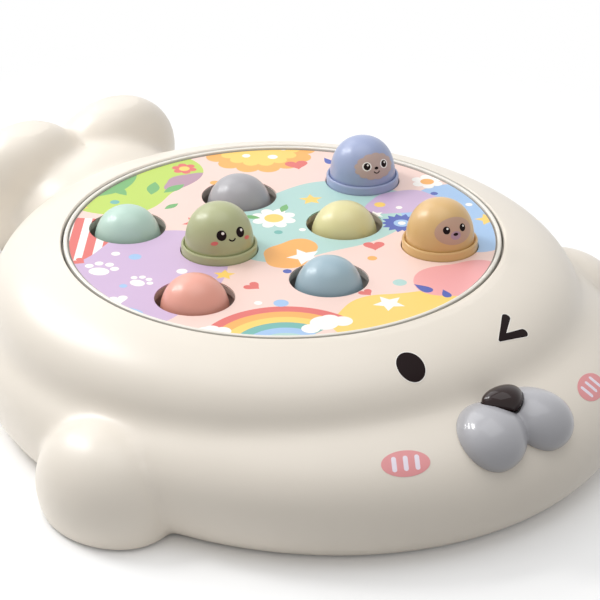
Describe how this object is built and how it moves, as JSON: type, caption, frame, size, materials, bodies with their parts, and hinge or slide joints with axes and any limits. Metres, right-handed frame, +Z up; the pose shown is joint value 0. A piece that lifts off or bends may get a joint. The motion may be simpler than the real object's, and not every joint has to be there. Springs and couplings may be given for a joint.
{
  "type": "mole pounding game",
  "caption": "Table-top mole pounding game shaped like a lying seal pup, with sprung caps that slide in a round deck, a press nose and a battery base.",
  "frame": {"origin": "on the table under the middle of the whole toy, at the lower faces of the rubber feet", "axes": "+Z up, the seal's face looks towards -Y and its tail points to +Y, +X is to the right when the face is seen from the front"},
  "size_m": [0.289, 0.3466, 0.0857],
  "materials": {
    "cream_plastic": "smooth moulded plastic with a soft gloss",
    "white_plastic": "smooth off-white moulded plastic",
    "printed_sheet": "printed sheet in pastel colours",
    "lilac_grey_plastic": "high gloss lilac grey",
    "dark_brown_plastic": "high gloss dark brown",
    "circuit_green": "green lacquered circuit board",
    "inner_grey_plastic": "plain grey moulded plastic",
    "black_plastic": "plain black moulded plastic",
    "steel": "bright plated steel",
    "copper_winding": "enamelled copper winding",
    "grey_rubber": "soft dark grey rubber",
    "battery_jacket": "plain cell jacket",
    "teal_plastic": "pastel teal",
    "grey_plastic": "warm grey",
    "lavender_plastic": "lavender blue",
    "olive_plastic": "olive green",
    "yellow_plastic": "pale yellow",
    "pink_plastic": "salmon pink",
    "blue_plastic": "sky blue",
    "orange_plastic": "soft orange"
  },
  "bodies": {
    "body": {"body_shell": "cream_plastic", "base_cover": "cream_plastic", "battery_cover": "cream_plastic", "muzzle": "lilac_grey_plastic", "nose_switch": "circuit_green", "game_deck": "white_plastic", "deck_print": "printed_sheet", "mechanism_plate": "inner_grey_plastic", "circuit_board": "circuit_green", "speaker": "black_plastic", "power_switch_body": "steel", "battery_cover_screw": "steel", "base_screw_1": "steel", "base_screw_2": "steel", "base_screw_3": "steel", "base_screw_4": "steel", "rubber_foot_1": "grey_rubber", "rubber_foot_2": "grey_rubber", "rubber_foot_3": "grey_rubber", "rubber_foot_4": "grey_rubber", "deck_screw_1": "steel", "deck_screw_2": "steel", "deck_screw_3": "steel", "battery_1": "battery_jacket", "battery_2": "battery_jacket", "battery_3": "battery_jacket", "mole_spring_teal": "steel", "latch_coil_teal": "copper_winding", "mole_spring_grey": "steel", "latch_coil_grey": "copper_winding", "mole_spring_lavender": "steel", "latch_coil_lavender": "copper_winding", "mole_spring_olive": "steel", "latch_coil_olive": "copper_winding", "mole_spring_yellow": "steel", "latch_coil_yellow": "copper_winding", "mole_spring_pink": "steel", "latch_coil_pink": "copper_winding", "mole_spring_blue": "steel", "latch_coil_blue": "copper_winding", "mole_spring_orange": "steel", "latch_coil_orange": "copper_winding"},
    "mole_teal": {"mole_cap_teal": "teal_plastic", "mole_plunger_teal": "steel"},
    "mole_grey": {"mole_cap_grey": "grey_plastic", "mole_plunger_grey": "steel"},
    "mole_lavender": {"mole_cap_lavender": "lavender_plastic", "mole_plunger_lavender": "steel"},
    "mole_olive": {"mole_cap_olive": "olive_plastic", "mole_plunger_olive": "steel"},
    "mole_yellow": {"mole_cap_yellow": "yellow_plastic", "mole_plunger_yellow": "steel"},
    "mole_pink": {"mole_cap_pink": "pink_plastic", "mole_plunger_pink": "steel"},
    "mole_blue": {"mole_cap_blue": "blue_plastic", "mole_plunger_blue": "steel"},
    "mole_orange": {"mole_cap_orange": "orange_plastic", "mole_plunger_orange": "steel"},
    "nose": {"nose_button": "dark_brown_plastic"},
    "power_slider": {"power_knob": "black_plastic"}
  },
  "joints": [
    {"name": "mole_slide_teal", "type": "slide", "parent": "body", "child": "mole_teal", "axis": [0, 0, 1], "range_m": [0, 0.011], "deforming": ["mole_spring_teal"]},
    {"name": "mole_slide_grey", "type": "slide", "parent": "body", "child": "mole_grey", "axis": [0, 0, 1], "range_m": [0, 0.011], "deforming": ["mole_spring_grey"]},
    {"name": "mole_slide_lavender", "type": "slide", "parent": "body", "child": "mole_lavender", "axis": [0, 0, 1], "range_m": [-0.011, 0], "stiffness_N_per_m": 60, "springref_m": 0.005, "deforming": ["mole_spring_lavender"]},
    {"name": "mole_slide_olive", "type": "slide", "parent": "body", "child": "mole_olive", "axis": [0, 0, 1], "range_m": [-0.011, 0], "stiffness_N_per_m": 60, "springref_m": 0.005, "deforming": ["mole_spring_olive"]},
    {"name": "mole_slide_yellow", "type": "slide", "parent": "body", "child": "mole_yellow", "axis": [0, 0, 1], "range_m": [0, 0.011], "deforming": ["mole_spring_yellow"]},
    {"name": "mole_slide_pink", "type": "slide", "parent": "body", "child": "mole_pink", "axis": [0, 0, 1], "range_m": [0, 0.011], "deforming": ["mole_spring_pink"]},
    {"name": "mole_slide_blue", "type": "slide", "parent": "body", "child": "mole_blue", "axis": [0, 0, 1], "range_m": [0, 0.011], "deforming": ["mole_spring_blue"]},
    {"name": "mole_slide_orange", "type": "slide", "parent": "body", "child": "mole_orange", "axis": [0, 0, 1], "range_m": [-0.011, 0], "stiffness_N_per_m": 60, "springref_m": 0.005, "deforming": ["mole_spring_orange"]},
    {"name": "nose_press", "type": "slide", "parent": "body", "child": "nose", "axis": [0, 0, -1], "range_m": [0, 0.0015], "stiffness_N_per_m": 400, "springref_m": -0.001},
    {"name": "power_slide", "type": "slide", "parent": "body", "child": "power_slider", "axis": [1, 0, 0], "range_m": [0, 0.004]}
  ]
}
